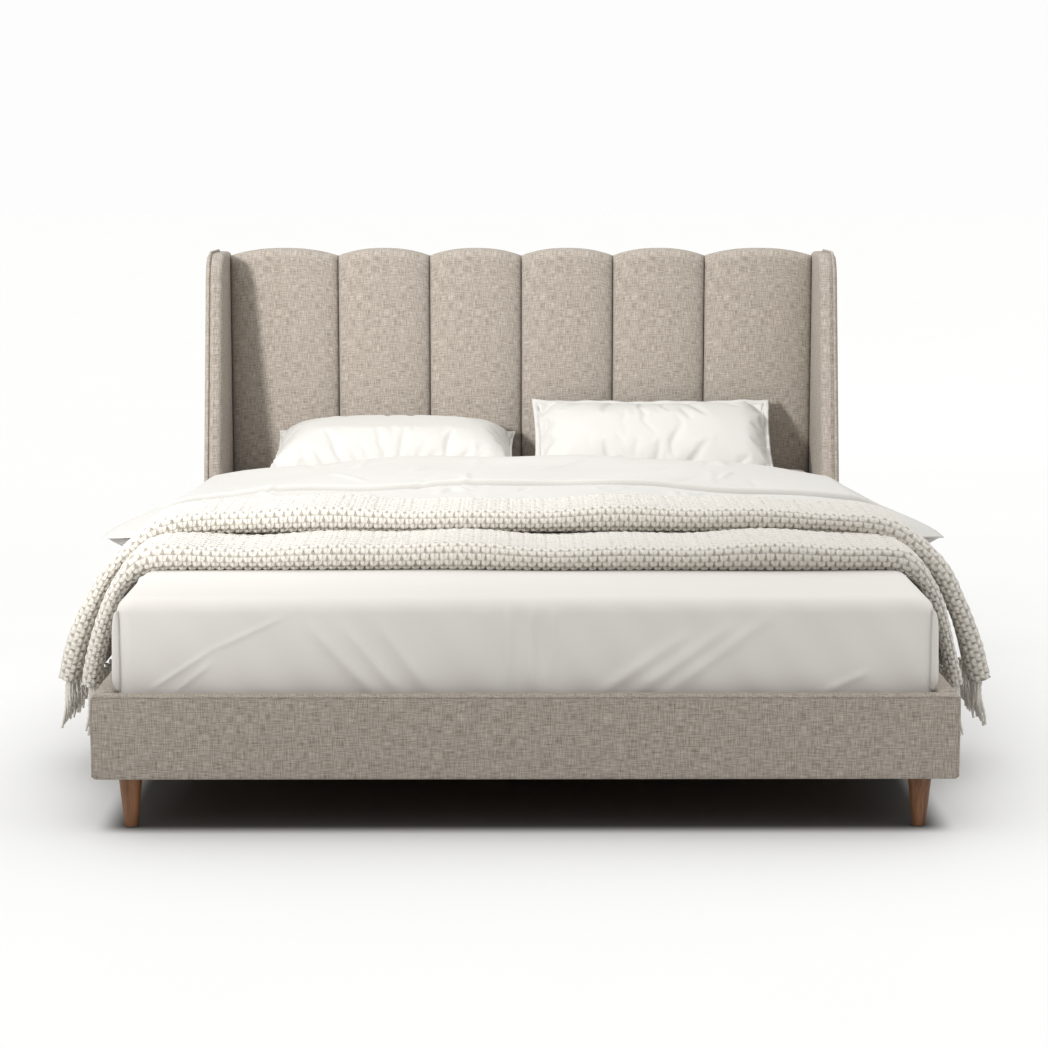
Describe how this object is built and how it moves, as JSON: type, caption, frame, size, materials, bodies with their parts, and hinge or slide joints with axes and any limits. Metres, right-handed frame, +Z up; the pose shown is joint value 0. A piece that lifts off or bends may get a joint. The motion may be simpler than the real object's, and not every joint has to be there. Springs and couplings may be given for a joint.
{
  "type": "upholstered headboard bed",
  "caption": "Upholstered platform bed with a winged channel-tufted headboard, tapered wooden legs, mattress and layered bedding.",
  "frame": {"origin": "on the floor, midway along the bed's length and width", "axes": "+X across the bed to the right seen from its foot, +Y from the foot towards the headboard, +Z up"},
  "size_m": [1.8926, 2.1666, 1.022],
  "materials": {
    "pine": "satin",
    "walnut_stain": "satin",
    "zinc_steel": "satin",
    "grey_felt": "matte",
    "black_plastic": "matte",
    "greige_linen": "matte",
    "dust_cloth": "matte",
    "white_webbing": "matte",
    "mattress_ticking": "matte",
    "white_cotton": "matte",
    "cream_wool": "matte"
  },
  "bodies": {
    "bed_frame": {"foot_rail": "pine", "side_rail_left": "pine", "side_rail_right": "pine", "foot_rail_cover": "greige_linen", "side_rail_cover_left": "greige_linen", "side_rail_cover_right": "greige_linen", "head_cross_rail": "pine", "corner_block_front_left": "pine", "corner_block_front_right": "pine", "corner_block_rear_left": "pine", "corner_block_rear_right": "pine", "corner_bolts": "zinc_steel", "leg_front_left": "walnut_stain", "leg_front_right": "walnut_stain", "leg_rear_left": "walnut_stain", "leg_rear_right": "walnut_stain", "leg_plates": "zinc_steel", "leg_studs": "zinc_steel", "leg_glides": "grey_felt", "slat_ledger_left": "pine", "slat_ledger_right": "pine", "slats": "pine", "slat_tapes": "white_webbing", "centre_beam": "pine", "beam_hangers": "zinc_steel", "centre_leg_1": "pine", "centre_leg_2": "pine", "headboard_panel": "pine", "headboard_channel_1": "greige_linen", "headboard_channel_2": "greige_linen", "headboard_channel_3": "greige_linen", "headboard_channel_4": "greige_linen", "headboard_channel_5": "greige_linen", "headboard_channel_6": "greige_linen", "headboard_top_rail": "pine", "headboard_bottom_rail": "pine", "headboard_stud_left": "pine", "headboard_stud_centre": "pine", "headboard_stud_right": "pine", "headboard_back_cloth": "dust_cloth", "wing_board_left": "pine", "wing_board_right": "pine", "wing_pad_left": "greige_linen", "wing_pad_right": "greige_linen", "wing_welt_left": "greige_linen", "wing_welt_right": "greige_linen"},
    "foot_pad_1": {"foot_pad_1": "black_plastic"},
    "foot_stem_1": {"foot_stem_1": "zinc_steel"},
    "foot_pad_2": {"foot_pad_2": "black_plastic"},
    "foot_stem_2": {"foot_stem_2": "zinc_steel"},
    "mattress": {"mattress": "mattress_ticking", "fitted_sheet": "white_cotton"},
    "duvet": {"duvet": "white_cotton"},
    "throw": {"throw": "cream_wool", "throw_fringe": "cream_wool"},
    "pillow_left": {"pillow_left": "white_cotton"},
    "pillow_right": {"pillow_right": "white_cotton"}
  },
  "joints": [
    {"name": "mattress_lift", "type": "slide", "parent": "bed_frame", "child": "mattress", "axis": [0, 0, 1], "range_m": [0, 0.12]},
    {"name": "duvet_lift", "type": "slide", "parent": "mattress", "child": "duvet", "axis": [0, 0, 1], "range_m": [0, 0.3]},
    {"name": "throw_lift", "type": "slide", "parent": "duvet", "child": "throw", "axis": [0, 0, 1], "range_m": [0, 0.3]},
    {"name": "pillow_left_lift", "type": "slide", "parent": "mattress", "child": "pillow_left", "axis": [0, 0, 1], "range_m": [0, 0.65]},
    {"name": "pillow_right_lift", "type": "slide", "parent": "mattress", "child": "pillow_right", "axis": [0, 0, 1], "range_m": [0, 0.65]},
    {"name": "foot_travel_1", "type": "slide", "parent": "bed_frame", "child": "foot_pad_1", "axis": [0, 0, -1], "range_m": [0, 0.012]},
    {"name": "foot_screw_1", "type": "hinge", "parent": "foot_pad_1", "child": "foot_stem_1", "pos_m": [0, -0.3621, 0.02], "axis": [0, 0, -1], "range_deg": [0, 2880]},
    {"name": "foot_travel_2", "type": "slide", "parent": "bed_frame", "child": "foot_pad_2", "axis": [0, 0, -1], "range_m": [0, 0.012]},
    {"name": "foot_screw_2", "type": "hinge", "parent": "foot_pad_2", "child": "foot_stem_2", "pos_m": [0, 0.3201, 0.02], "axis": [0, 0, -1], "range_deg": [0, 2880]}
  ],
  "couplings": [
    {"joint": "foot_screw_1", "follows": "foot_travel_1", "rad_per_m": 4188.8},
    {"joint": "foot_screw_2", "follows": "foot_travel_2", "rad_per_m": 4188.8}
  ]
}
